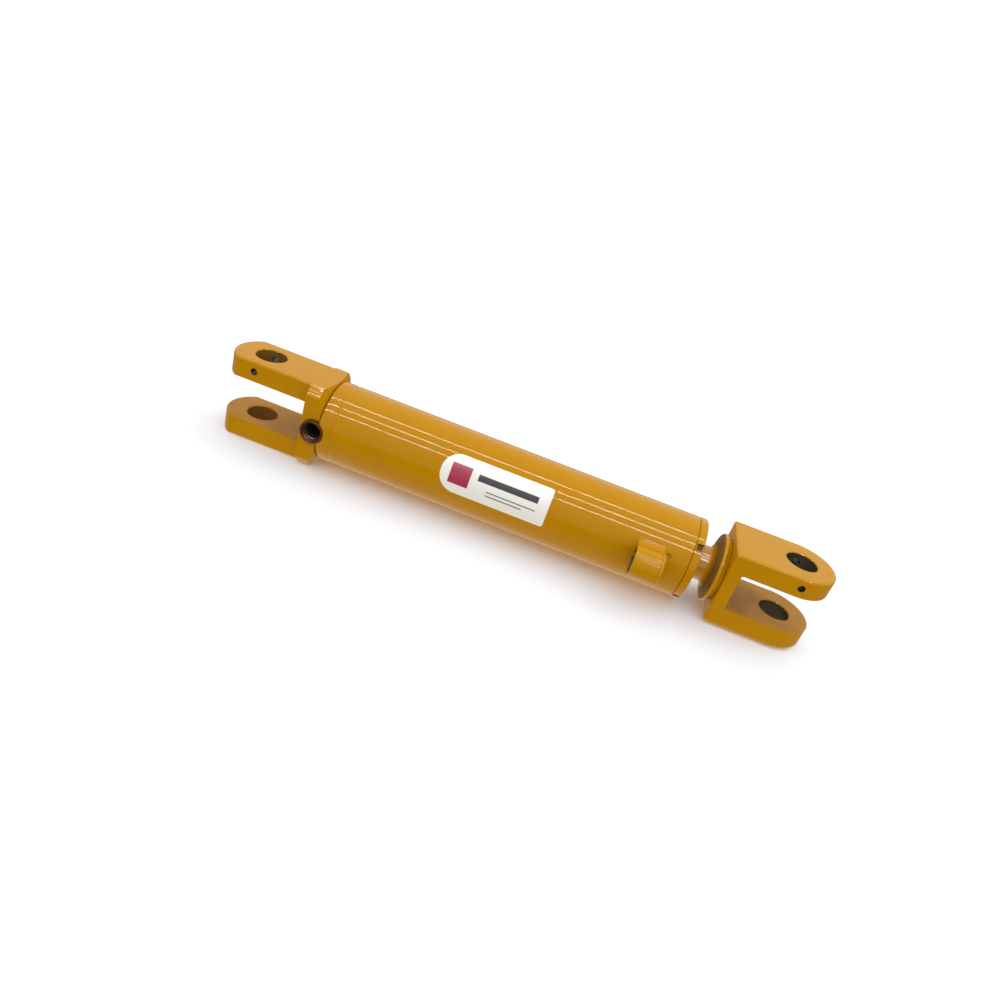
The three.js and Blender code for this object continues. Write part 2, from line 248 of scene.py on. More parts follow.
def prism(name: str, corners: Sequence[tuple[float, float]], start: float, end: float) -> Piece:
    """Makes a prism along X.

    Args:
        name: Name of the object.
        corners: Its outline as (y, z) from the tube's axis, in millimetres.
        start: X of its near end.
        end: X of its far end.

    Returns:
        The prism.
    """
    deselect_all()
    bpy.ops.mesh.primitive_circle_add(vertices=len(corners), radius=0.01, fill_type="NGON")
    piece = settle(name)
    for vertex, (y, z) in zip(piece.data.vertices, corners):
        vertex.co = Vector((start, y, AXIS_Z + z)) * MM
    bpy.ops.object.mode_set(mode="EDIT")
    bpy.ops.mesh.select_all(action="SELECT")
    step = ((end - start) * MM, 0.0, 0.0)
    bpy.ops.mesh.extrude_region_move(TRANSFORM_OT_translate={"value": step})
    bpy.ops.mesh.select_all(action="SELECT")
    bpy.ops.mesh.normals_make_consistent(inside=False)
    bpy.ops.object.mode_set(mode="OBJECT")
    return piece


def work(piece: Piece, tool: Piece, how: Join) -> None:
    """Cuts, welds or trims a piece with a tool, and uses the tool up.

    Args:
        piece: The piece that is kept.
        tool: The solid that works on it.
        how: What the tool does.
    """
    make_active(piece)
    boolean = piece.modifiers.new("Tool", "BOOLEAN")
    boolean.operation = how.value
    boolean.solver = "EXACT"
    boolean.object = tool
    bpy.ops.object.modifier_apply(modifier=boolean.name)
    bpy.data.objects.remove(tool, do_unlink=True)


def ease(piece: Piece, width: float, segments: int = 3, sharper_than: float = 35.0) -> None:
    """Rounds every edge that is sharper than an angle.

    Args:
        piece: The piece to round.
        width: Width of the rounding in millimetres.
        segments: Steps in the rounding.
        sharper_than: Angle in degrees.
    """
    make_active(piece)
    bevel = piece.modifiers.new("Ease", "BEVEL")
    bevel.width = width * MM
    bevel.segments = segments
    bevel.limit_method = "ANGLE"
    bevel.angle_limit = math.radians(sharper_than)
    bevel.harden_normals = False
    bpy.ops.object.modifier_apply(modifier=bevel.name)


def smooth(piece: Piece, angle: float = 30.0) -> None:
    """Shades a finished piece smooth up to an angle, with flat faces kept flat.

    Args:
        piece: The piece to shade.
        angle: Angle in degrees.
    """
    make_active(piece)
    bpy.ops.object.mode_set(mode="EDIT")
    bpy.ops.mesh.select_all(action="SELECT")
    bpy.ops.mesh.remove_doubles(threshold=2e-6)
    bpy.ops.object.mode_set(mode="OBJECT")
    bpy.ops.object.shade_smooth_by_angle(angle=math.radians(angle))
    weighted = piece.modifiers.new("Normals", "WEIGHTED_NORMAL")
    weighted.keep_sharp = True
    weighted.weight = 90
    bpy.ops.object.modifier_apply(modifier=weighted.name)


def drill(piece: Piece, radius: float, length: float, centre: Sequence[float], axis: Axis,
          sides: int = 64) -> None:
    """Drills a plain round hole; the sizes are as for bar()."""
    work(piece, bar("drill", radius, length, centre, axis, sides), Join.CUT)


def bore_through(piece: Piece, radius: float, walls: Sequence[tuple[float, float]], broken: float,
                 centre: Sequence[float], axis: Axis, sides: int = 96) -> None:
    """Bores a hole through one or more walls and breaks its edges, with one turned tool.

    Args:
        piece: The piece that is bored.
        radius: Radius in millimetres.
        walls: Start and end of each wall along the hole, from its centre, in order.
        broken: Width of the broken edges in millimetres.
        centre: A point on the hole's line, in millimetres.
        axis: Direction of the hole, Y or Z.
        sides: Facets round it.
    """
    wide = radius + broken + 0.5
    profile = [(walls[0][0] - 5.0, wide)]
    for start, end in walls:
        profile += [(start - 0.5, wide), (start + broken, radius),
                    (end - broken, radius), (end + 0.5, wide)]
    profile.append((walls[-1][1] + 5.0, wide))
    tool = turned("boring_tool", profile, closed=False, sides=sides)
    turn = (-90.0, Axis.Y) if axis is Axis.Z else (90.0, Axis.Z)
    carry(tool, (centre[0], centre[1], centre[2] - AXIS_Z), turn, (0.0, 0.0, AXIS_Z))
    work(piece, tool, Join.CUT)


def thread_tool(radius: float, start_x: float, end_x: float) -> Piece:
    """Makes a tool that leaves thread grooves in a hole along the tube's axis.

    Args:
        radius: Radius at the crests in millimetres.
        start_x: Where the thread starts in millimetres.
        end_x: Where it ends in millimetres.

    Returns:
        The tool, about the tube's axis.
    """
    turns = int((end_x - start_x) / THREAD_PITCH)
    profile: list[tuple[float, float]] = [(start_x, 0.5), (start_x, radius + 0.6)]
    for turn in range(turns):
        x = start_x + turn * THREAD_PITCH
        profile += [(x + 0.55 * THREAD_PITCH, radius), (x + THREAD_PITCH, radius + 0.85)]
    profile += [(profile[-1][0] + 0.4, radius), (profile[-1][0] + 0.4, 0.5)]
    return turned("thread_tool", profile, closed=False, sides=48)


def carry(piece: Piece, by: Sequence[float], turn: tuple[float, Axis] | None = None,
          about: Sequence[float] = (0.0, 0.0, 0.0)) -> None:
    """Turns a piece about a point, moves it, and keeps its place in its mesh.

    Args:
        piece: The piece.
        by: Move in millimetres, after the turn.
        turn: Degrees and the axis, by the right-hand rule.
        about: Point it turns about, in millimetres.
    """
    make_active(piece)
    if turn is not None:
        degrees, axis = turn
        pivot = Vector(about) * MM
        piece.location = -pivot
        bpy.ops.object.transform_apply(location=True, rotation=False, scale=False)
        angle = math.radians(degrees)
        piece.rotation_euler = tuple(angle if axis is one else 0.0 for one in (Axis.X, Axis.Y, Axis.Z))
        piece.location = pivot
        bpy.ops.object.transform_apply(location=True, rotation=True, scale=False)
    piece.location = Vector(by) * MM
    bpy.ops.object.transform_apply(location=True, rotation=False, scale=False)


# ---- Finishes ------------------------------------------------------------------------------------


def linear(colour: str) -> tuple[float, float, float, float]:
    """Turns an sRGB hex colour to linear RGBA.

    Args:
        colour: Six hex digits, with or without a leading #.

    Returns:
        Linear red, green, blue and an alpha of 1.
    """
    digits = colour.lstrip("#")
    parts = [int(digits[i:i + 2], 16) / 255 for i in (0, 2, 4)]
    red, green, blue = (c / 12.92 if c <= 0.04045 else ((c + 0.055) / 1.055) ** 2.4 for c in parts)
    return red, green, blue, 1.0


def add_node(tree: bpy.types.NodeTree, kind: str, settings: dict[str, object] | None = None,
             **inputs: object) -> bpy.types.Node:
    """Adds a node, with its settings, values and links.

    Args:
        tree: Tree that gets the node.
        kind: The node's type.
        settings: Its properties.
        **inputs: Values or output sockets by input name, with _ for a space, or i and a number.

    Returns:
        The node.
    """
    node = tree.nodes.new(kind)
    for key, value in (settings or {}).items():
        setattr(node, key, value)
    for key, value in inputs.items():
        by_number = key[0] == "i" and key[1:].isdigit()
        socket = node.inputs[int(key[1:])] if by_number else node.inputs[key.replace("_", " ")]
        if isinstance(value, bpy.types.NodeSocket):
            tree.links.new(value, socket)
        else:
            socket.default_value = value
    return node


@dataclass(frozen=True)
class Finish:
    """A surface finish: two close shades, a gloss, and the relief that its making leaves."""

    name: str
    shade: str
    second_shade: str
    metallic: float
    roughness: float
    roughness_spread: float
    patch_mm: float
    relief_mm: float
    relief_height: float
    coat: float = 0.0
    coat_roughness: float = 0.1
    stretch: tuple[float, float, float] = (1.0, 1.0, 1.0)
    specular: float = 0.5

    def material(self) -> bpy.types.Material:
        """Builds the finish, or returns it if it is there already.

        Returns:
            The material.
        """
        ready = bpy.data.materials.get(self.name)
        if ready is not None:
            return ready
        made = bpy.data.materials.new(self.name)
        made.use_nodes = True
        tree = made.node_tree
        tree.nodes.clear()
        place = add_node(tree, "ShaderNodeTexCoord").outputs["Object"]
        place = add_node(tree, "ShaderNodeMapping", None, Vector=place, Scale=self.stretch).outputs[0]
        patches = add_node(tree, "ShaderNodeTexNoise", None, Vector=place,
                           Scale=1000 / self.patch_mm, Detail=4.0, Roughness=0.55).outputs["Fac"]
        colour = add_node(tree, "ShaderNodeMix", {"data_type": "RGBA"}, i0=patches,
                          i6=linear(self.shade), i7=linear(self.second_shade)).outputs[2]
        colour = self.marked(tree, place, colour)
        gloss = add_node(tree, "ShaderNodeMapRange", None, Value=patches, From_Min=0.3, From_Max=0.7,
                         To_Min=max(0.02, self.roughness - self.roughness_spread),
                         To_Max=self.roughness + self.roughness_spread).outputs[0]
        grain = add_node(tree, "ShaderNodeTexNoise", None, Vector=place,
                         Scale=1000 / self.relief_mm, Detail=2.0, Roughness=0.5).outputs["Fac"]
        relief = add_node(tree, "ShaderNodeBump", None, Strength=1.0,
                          Distance=self.relief_height * MM, Height=grain).outputs[0]
        shader = add_node(tree, "ShaderNodeBsdfPrincipled", None, Base_Color=colour,
                          Metallic=self.metallic, Roughness=gloss, Normal=relief,
                          Specular_IOR_Level=self.specular, Coat_Weight=self.coat,
                          Coat_Roughness=self.coat_roughness, Coat_Normal=relief)
        add_node(tree, "ShaderNodeOutputMaterial", None, Surface=shader.outputs[0])
        return made

    def marked(self, tree: bpy.types.NodeTree, place: bpy.types.NodeSocket,
               colour: bpy.types.NodeSocket) -> bpy.types.NodeSocket:
        """Adds marks to the colour; a plain finish has none."""
        return colour


# Machinery enamel, sprayed over the assembled cylinder: a deep yellow with a slight orange peel.
YELLOW_ENAMEL = Finish("yellow_enamel", "#C18802", "#BA8201", 0.0, 0.08, 0.02, 45.0, 1.6, 0.002,
                       specular=0.12)
# The same enamel inside the base's bores and the head's notches: thin and dull, its dark brown is painted
# shade for the shade that falls inside the bores and notches.
THIN_ENAMEL_AND_SHADE = Finish("thin_enamel_painted_shade", "#8A5F1E", "#5B3D1C", 0.0, 0.45, 0.08, 9.0, 1.2, 0.02,
                      specular=0.15)
# The same enamel on the cheeks of the slots: browner and darker in patches as painted shade for the
# shadow in the slots, and less glossy.
CHEEK_ENAMEL_PAINTED_SHADE = Finish("cheek_enamel_painted_shade", "#C48C10", "#946420", 0.0, 0.34, 0.08, 20.0, 1.2, 0.01,
                       specular=0.12)
# Machined steel left bare where the paint was masked: dark and oily.
OILED_STEEL = Finish("oiled_steel", "#544E40", "#332E26", 0.4, 0.36, 0.08, 5.0, 0.8, 0.012)
# Bare steel with overspray and a film of rust at its edges: red-brown, half dull.
STAINED_STEEL = Finish("stained_steel", "#6E3F20", "#3A1E12", 0.35, 0.28, 0.08, 7.0, 0.8, 0.015)
# Steel behind the collar, half hidden by dry overspray: a dull olive brown, darkened as painted shade for
# the collar's flank towards the head, which lies in shadow.
DUSTED_STEEL_AND_SHADE = Finish("dusted_steel_painted_shade", "#8C7030", "#654A1C", 0.0, 0.45, 0.10, 12.0, 0.8, 0.01,
                       specular=0.2)
# Ground steel of the piston and nut: bright grey with a fine lay across the part.
GROUND_STEEL = Finish("ground_steel", "#9A9893", "#85827D", 1.0, 0.32, 0.06, 20.0, 0.9, 0.006,
                      stretch=(6.0, 1.0, 1.0))
# Moulded nitrile rubber: near black, dull, with a faint bloom.
NITRILE = Finish("nitrile_rubber", "#1B1B1D", "#26262A", 0.0, 0.62, 0.08, 6.0, 0.5, 0.01)
# Cast polyurethane: dark red, waxy.
POLYURETHANE = Finish("cast_polyurethane", "#6E2430", "#5C1B27", 0.0, 0.45, 0.06, 8.0, 0.6, 0.006)
# Glass-filled nylon: grey-brown with a speckle of fibre.
FILLED_NYLON = Finish("glass_filled_nylon", "#5A554A", "#49453C", 0.0, 0.55, 0.06, 1.5, 0.5, 0.008)


@dataclass(frozen=True)
class RodChrome(Finish):
    """Hard chrome with enamel on the stretch that stands out of the gland when the rod is in."""

    painted_from: float = 0.0
    enamel: Finish = YELLOW_ENAMEL

    def material(self) -> bpy.types.Material:
        """Builds chrome and enamel side by side, split at a line round the rod.

        Returns:
            The material.
        """
        ready = bpy.data.materials.get(self.name)
        if ready is not None:
            return ready
        made = super().material()
        tree = made.node_tree
        shader = next(n for n in tree.nodes if n.type == "BSDF_PRINCIPLED")
        place = add_node(tree, "ShaderNodeTexCoord").outputs["Object"]
        waver = add_node(tree, "ShaderNodeTexNoise", None, Vector=place, Scale=120.0).outputs["Fac"]
        along = add_node(tree, "ShaderNodeSeparateXYZ", None, Vector=place).outputs[0]
        edge = add_node(tree, "ShaderNodeMath", {"operation": "MULTIPLY_ADD"},
                        i0=waver, i1=0.0012, i2=self.painted_from * MM).outputs[0]
        painted = add_node(tree, "ShaderNodeMath", {"operation": "GREATER_THAN"},
                           i0=along, i1=edge).outputs[0]
        plain = shader.inputs["Base Color"].links[0].from_socket
        gloss = shader.inputs["Roughness"].links[0].from_socket
        colour = add_node(tree, "ShaderNodeMix", {"data_type": "RGBA"}, i0=painted, i6=plain,
                          i7=linear(self.enamel.shade)).outputs[2]
        rough = add_node(tree, "ShaderNodeMix", {"data_type": "FLOAT"}, i0=painted, i2=gloss,
                         i3=self.enamel.roughness).outputs[0]
        metal = add_node(tree, "ShaderNodeMath", {"operation": "SUBTRACT"}, i0=1.0,
                         i1=painted).outputs[0]
        tree.links.new(colour, shader.inputs["Base Color"])
        tree.links.new(rough, shader.inputs["Roughness"])
        tree.links.new(metal, shader.inputs["Metallic"])
        return made


@dataclass(frozen=True)
class LabelVinyl(Finish):
    """White vinyl printed with plain blocks and rules in place of words."""

    centre: Vector = field(default_factory=Vector)
    angle: float = 0.0
    blocks: tuple[tuple[float, float, float, float, str], ...] = ()

    def marked(self, tree: bpy.types.NodeTree, place: bpy.types.NodeSocket,
               colour: bpy.types.NodeSocket) -> bpy.types.NodeSocket:
        """Prints the blocks over the vinyl.

        Args:
            tree: The material's tree.
            place: Object coordinates.
            colour: Colour of the bare vinyl.

        Returns:
            The printed colour.
        """
        moved = add_node(tree, "ShaderNodeVectorMath", {"operation": "SUBTRACT"}, i0=place,
                         i1=self.centre * MM).outputs[0]
        turned_place = add_node(tree, "ShaderNodeVectorRotate", {"rotation_type": "X_AXIS"},
                                Vector=moved, Angle=math.radians(self.angle)).outputs[0]
        axes = add_node(tree, "ShaderNodeSeparateXYZ", None, Vector=turned_place)
        for x, y, width, height, ink in self.blocks:
            across = self.within(tree, axes.outputs[0], x, width)
            up = self.within(tree, axes.outputs[2], y, height)
            inside = add_node(tree, "ShaderNodeMath", {"operation": "MULTIPLY"}, i0=across, i1=up)
            colour = add_node(tree, "ShaderNodeMix", {"data_type": "RGBA"}, i0=inside.outputs[0],
                              i6=colour, i7=linear(ink)).outputs[2]
        return colour

    @staticmethod
    def within(tree: bpy.types.NodeTree, value: bpy.types.NodeSocket, middle: float,
               width: float) -> bpy.types.NodeSocket:
        """Tells whether a coordinate lies in a band.

        Args:
            tree: The material's tree.
            value: The coordinate in metres.
            middle: Middle of the band in millimetres.
            width: Width of the band in millimetres.

        Returns:
            A socket that is 1 inside the band.
        """
        return add_node(tree, "ShaderNodeMath", {"operation": "COMPARE"}, i0=value,
                        i1=middle * MM, i2=width * MM / 2).outputs[0]


def dress(piece: Piece, body: Body, slot: str, finish: Finish, *nodes: str) -> None:
    """Gives a piece its finish and its place in the frame.

    Args:
        piece: The finished piece.
        body: Body it moves with.
        slot: Material slot of the record. Not used.
        finish: Its finish.
        *nodes: Nodes of the frame that it stands for.
    """
    piece.data.materials.clear()
    piece.data.materials.append(finish.material())
    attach(piece, body.value)
    if nodes:
        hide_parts(*nodes)
    log.info("%s: %d faces", piece.name, len(piece.data.polygons))


def line_with(piece: Piece, finish: Finish, test: Callable[[Vector, Vector], bool]) -> None:
    """Gives the faces that pass a test a second finish.

    Args:
        piece: A dressed piece.
        finish: The second finish.
        test: Takes a face's centre in millimetres and its normal.
    """
    made = finish.material()
    if made.name not in piece.data.materials:
        piece.data.materials.append(made)
    index = piece.data.materials.find(made.name)
    for face in piece.data.polygons:
        if test(face.center / MM, face.normal):
            face.material_index = index


# ---- Clevises ------------------------------------------------------------------------------------


@dataclass
class Clevis:
    """A two-eared clevis with a pin bore and a cross hole for the pin's retaining bolt."""

    node: str
    body: Body
    toward: float
    end_x: float
    root_x: float
    half_width: float
    end_radius: float
    height: float
    slot_height: float
    slot_x: float
    pin_x: float
    cross_x: float
    rounding: float = 2.6
    slot_fillet: float = 2.5

    def blank(self) -> Piece:
        """Makes the solid outline of the ears, rounded at the end.

        Returns:
            The blank, with its edges eased.
        """
        piece = bar(self.node + "_body", self.end_radius, self.height,
                    (self.end_x, 0.0, AXIS_Z), Axis.Z, 160)
        bpy.ops.object.mode_set(mode="EDIT")
        if self.end_radius > self.half_width:
            for side in (-1.0, 1.0):
                bpy.ops.mesh.select_all(action="SELECT")
                bpy.ops.mesh.bisect(plane_co=(0.0, side * self.half_width * MM, 0.0),
                                    plane_no=(0.0, side, 0.0), use_fill=True, clear_outer=True)
        bpy.ops.mesh.select_all(action="SELECT")
        bpy.ops.mesh.bisect(plane_co=(self.end_x * MM, 0.0, 0.0), plane_no=(self.toward, 0.0, 0.0),
                            use_fill=False, clear_inner=True)
        bpy.ops.mesh.select_mode(type="EDGE")
        bpy.ops.mesh.select_all(action="DESELECT")
        bpy.ops.mesh.select_non_manifold()
        step = ((self.root_x - self.end_x) * MM, 0.0, 0.0)
        bpy.ops.mesh.extrude_region_move(TRANSFORM_OT_translate={"value": step})
        bpy.ops.mesh.edge_face_add()
        bpy.ops.mesh.select_all(action="SELECT")
        bpy.ops.mesh.normals_make_consistent(inside=False)
        bpy.ops.object.mode_set(mode="OBJECT")
        ease(piece, self.rounding, 4, 50.0)
        return piece

    def cut_slot(self, piece: Piece) -> None:
        """Cuts the slot between the ears, with rounded inner corners.

        Args:
            piece: The clevis.
        """
        far = self.slot_x + self.toward * 200.0
        low_x, high_x = sorted((self.slot_x, far))
        half = self.slot_height / 2
        tool = block("slot", (low_x, -60.0, AXIS_Z - half), (high_x, 60.0, AXIS_Z + half))
        ease(tool, self.slot_fillet, 4, 50.0)
        work(piece, tool, Join.CUT)
        ease(piece, 0.7, 2, 50.0)

    def bore(self, piece: Piece) -> None:
        """Drills the pin bore and the cross hole, and breaks their edges.

        Args:
            piece: The clevis.
        """
        half, slot, side = self.height / 2, self.slot_height / 2, self.half_width
        bore_through(piece, PIN_HOLE_RADIUS, ((-half, -slot), (slot, half)), 0.9,
                     (self.pin_x, 0.0, AXIS_Z), Axis.Z)
        bore_through(piece, 3.8, ((-side, side),), 0.5,
                     (self.cross_x, 0.0, AXIS_Z + (half + slot) / 2), Axis.Y, 40)

    def in_bore(self, centre: Vector, normal: Vector) -> bool:
        """Tells whether a face is part of the pin bore's wall.

        Args:
            centre: The face's centre in millimetres.
            normal: Its normal.

        Returns:
            True for the wall of the bore.
        """
        away = math.hypot(centre.x - self.pin_x, centre.y)
        return away < PIN_HOLE_RADIUS + 0.05 and abs(normal.z) < 0.3

    def in_slot(self, centre: Vector, normal: Vector) -> bool:
        """Tells whether a face is a cheek or the end of the slot; takes and returns as in_bore."""
        inward = abs(normal.z) > 0.9 and normal.z * (centre.z - AXIS_Z) < 0.0
        within = (centre.x - self.slot_x) * self.toward > -0.2
        return within and abs(centre.z - AXIS_Z) < self.slot_height / 2 + 0.1 and (
            inward or abs(normal.x) > 0.3)

    def in_cross_hole(self, centre: Vector, normal: Vector) -> bool:
        """Tells whether a face is part of the cross hole's wall; takes and returns as in_bore."""
        cross_z = AXIS_Z + (self.height + self.slot_height) / 4
        away = math.hypot(centre.x - self.cross_x, centre.z - cross_z)
        return away < 3.85 and abs(normal.y) < 0.3


@dataclass
class BaseClevis(Clevis):
    """The clevis of the closed end, with the block that is turned down to the tube."""

    block_width: float = 80.0
    chamfer: float = 9.3
    seam_x: float = 15.3

    def build(self) -> None:
        """Builds and dresses the base clevis."""
        piece = self.blank()
        self.cut_slot(piece)
        work(piece, self.turned_block(), Join.WELD)
        self.bore(piece)
        BasePort.drill_seat(piece)
        smooth(piece)
        dress(piece, self.body, "yellow_paint", YELLOW_ENAMEL, self.node)
        # Painted shade: the slot's cheeks and end get the browner enamel for the shadow in the slot.
        line_with(piece, CHEEK_ENAMEL_PAINTED_SHADE, self.in_slot)
        # Painted shade: the bore's wall gets the dark brown enamel for the shade inside it.
        line_with(piece, THIN_ENAMEL_AND_SHADE, self.in_bore)
        line_with(piece, OILED_STEEL, self.in_cross_hole)
        line_with(piece, OILED_STEEL, BasePort.in_seat)

    def turned_block(self) -> Piece:
        """Makes the block: a bar with broken corners, with a steep cone down to the tube.

        Returns:
            The block.
        """
        width, height = self.block_width, self.height
        start = self.slot_x
        piece = block("base_block", (start, -width / 2, AXIS_Z - height / 2),
                      (self.seam_x, width / 2, AXIS_Z + height / 2))
        bpy.ops.object.mode_set(mode="EDIT")
        bpy.ops.mesh.select_mode(type="EDGE")
        bpy.ops.mesh.select_all(action="DESELECT")
        bpy.ops.object.mode_set(mode="OBJECT")
        for edge in piece.data.edges:
            a, b = (piece.data.vertices[i].co for i in edge.vertices)
            edge.select = abs(a.x - b.x) > 0.001
        bpy.ops.object.mode_set(mode="EDIT")
        bpy.ops.mesh.bevel(offset=self.chamfer * MM, offset_type="OFFSET", segments=3, profile=0.34,
                           affect="EDGES")
        bpy.ops.object.mode_set(mode="OBJECT")
        cone = turned("cone", [
            (start - 5.0, TUBE_RADIUS + 20.0), (self.seam_x - 8.0, TUBE_RADIUS + 20.0),
            (self.seam_x - 1.1, TUBE_RADIUS + 1.6), (self.seam_x - 0.5, TUBE_RADIUS + 0.2),
            (self.seam_x, TUBE_RADIUS - 2.2), (self.seam_x + 3.0, TUBE_RADIUS - 2.2)],
            closed=False, sides=160)
        work(piece, cone, Join.KEEP_COMMON)
        ease(piece, 0.9, 2, 30.0)
        return piece


@dataclass
class RodClevis(Clevis):
    """The clevis of the rod's end, a bar with a round end."""

    def build(self) -> None:
        """Builds and dresses the rod clevis."""
        piece = self.blank()
        self.cut_slot(piece)
        self.bore(piece)
        drill(piece, ROD_RADIUS + 0.1, 24.0, (self.root_x, 0.0, AXIS_Z), Axis.X, 96)
        smooth(piece)
        dress(piece, self.body, "yellow_paint", YELLOW_ENAMEL, self.node)
        # Painted shade: the slot's cheeks and end get the browner enamel for the shadow in the slot.
        line_with(piece, CHEEK_ENAMEL_PAINTED_SHADE, self.in_slot)
        line_with(piece, OILED_STEEL, self.in_bore)
        line_with(piece, OILED_STEEL, self.in_cross_hole)


# ---- Barrel --------------------------------------------------------------------------------------


@dataclass
class Barrel:
    """The honed tube and the weld that holds it to the base."""

    oil_hole_x: float = 387.0
    oil_hole_radius: float = 4.0
    screw_x: float = Extent.of("gland_lock_screw").middle.x
    screw_hole_radius: float = 2.75

    def build(self) -> None:
        """Builds and dresses the tube and the weld."""
        self.tube()
        self.weld()

    def tube(self) -> None:
        """Makes the tube with its lock screw hole and oil hole."""
        x0, x1, r = TUBE.low.x, TUBE.high.x, TUBE_RADIUS
        piece = turned("barrel_tube_body", [
            (x0, BORE_RADIUS), (x1 - 1.5, BORE_RADIUS), (x1, BORE_RADIUS + 0.9), (x1, r - 0.9),
            (x1 - 0.3, r - 0.25), (x1 - 0.9, r), (x0 + 2.4, r), (x0 + 1.5, r - 0.16),
            (x0 + 0.6, r - 0.6), (x0 - 0.28, r - 0.9), (x0 - 0.28, r - 3.0), (x0, r - 3.0)], sides=192)
        drill(piece, self.oil_hole_radius, 20.0, (self.oil_hole_x, -42.0, AXIS_Z), Axis.Y, 40)
        hole = bar("screw_hole", self.screw_hole_radius, 12.0,
                   (self.screw_x, TUBE_RADIUS - 2.0, AXIS_Z), Axis.Y, 40)
        carry(hole, (0, 0, 0), (LOCK_SCREW_ANGLE, Axis.X), (0.0, 0.0, AXIS_Z))
        work(piece, hole, Join.CUT)
        smooth(piece)
        dress(piece, Body.BARREL, "yellow_paint", YELLOW_ENAMEL, "barrel_tube")
        line_with(piece, GROUND_STEEL, self.in_bore)

    @staticmethod
    def in_bore(centre: Vector, normal: Vector) -> bool:
        """Tells whether a face is part of the honed bore; takes and returns as Clevis.in_bore."""
        away = math.hypot(centre.y, centre.z - AXIS_Z)
        return away < BORE_RADIUS + 0.1 and abs(normal.x) < 0.3

    def weld(self) -> None:
        """Makes the band of weld, slightly crowned, with shallow ripples under the paint."""
        seat = Extent.of("base_weld")
        x0, x1 = seat.low.x, seat.high.x
        steps = 14
        crown = []
        for step in range(steps + 1):
            part = step / steps
            rise = 0.22 * max(0.0, math.sin(math.pi * part)) ** 0.5 + 0.03 * math.sin(part * 22.0)
            crown.append((x1 - 2.6 - part * (x1 - x0 - 4.1), TUBE_RADIUS - 0.1 + rise))
        piece = turned("base_weld_body", [(x0, BORE_RADIUS), (x1, BORE_RADIUS), (x1, TUBE_RADIUS - 0.9),
                                          (x1 - 0.7, TUBE_RADIUS - 0.7), (x1 - 1.6, TUBE_RADIUS - 0.3)]
                       + crown + [(x0 + 0.8, TUBE_RADIUS - 0.7), (x0 + 0.5, TUBE_RADIUS - 2.4),
                                  (x0, TUBE_RADIUS - 2.4)], sides=192)
        BasePort.drill_seat(piece)
        smooth(piece)
        dress(piece, Body.BARREL, "yellow_paint", YELLOW_ENAMEL, "base_weld")
        line_with(piece, OILED_STEEL, BasePort.in_seat)


@dataclass
class BasePort:
    """The threaded boss of the base, its mouth masked from the paint."""

    recess: float = 1.6
    seat_radius: ClassVar[float] = 13.3
    seat_face: ClassVar[float] = -39.0

    @classmethod
    def drill_seat(cls, piece: Piece) -> None:
        """Counterbores and drills the base, or its weld, where the boss sits.

        Args:
            piece: The piece that is drilled.
        """
        port_x = Extent.of("base_port_boss").middle.x
        drill(piece, cls.seat_radius, 20.0, (port_x, cls.seat_face - 10.0, AXIS_Z), Axis.Y, 96)
        drill(piece, THREAD_DRILL_RADIUS, 60.0, (port_x, -30.0, AXIS_Z), Axis.Y)

    @classmethod
    def in_seat(cls, centre: Vector, normal: Vector) -> bool:
        """Tells whether a face lies inside the drilling; takes and returns as Clevis.in_bore."""
        port_x = Extent.of("base_port_boss").middle.x
        away = math.hypot(centre.x - port_x, centre.z - AXIS_Z)
        return away < cls.seat_radius + 0.1 and cls.seat_face - 0.5 < centre.y < 5.0

    def build(self) -> None:
        """Builds and dresses the boss."""
        seat = Extent.of("base_port_boss")
        radius = seat.size.x / 2
        face = -seat.low.y
        depth = seat.size.y
        piece = turned("base_port_boss_body", [
            (0.0, THREAD_DRILL_RADIUS), (0.0, radius), (depth - 0.8, radius), (depth - 0.2, radius - 0.3),
            (depth, radius - 0.9), (depth, radius - 2.0), (depth - 0.5, radius - 2.3),
            (depth - self.recess, radius - 2.5), (depth - self.recess, THREAD_DRILL_RADIUS + 1.6),
            (depth - self.recess - 1.2, THREAD_DRILL_RADIUS + 0.7)], sides=96)
        work(piece, thread_tool(THREAD_DRILL_RADIUS - 0.2, -1.0, depth - 1.0), Join.CUT)
        carry(piece, (0, 0, 0), (-90.0, Axis.Z))
        carry(piece, (seat.middle.x, -face + depth, 0.0))
        smooth(piece)
        dress(piece, Body.BARREL, "bare_steel", STAINED_STEEL, "base_port_boss")


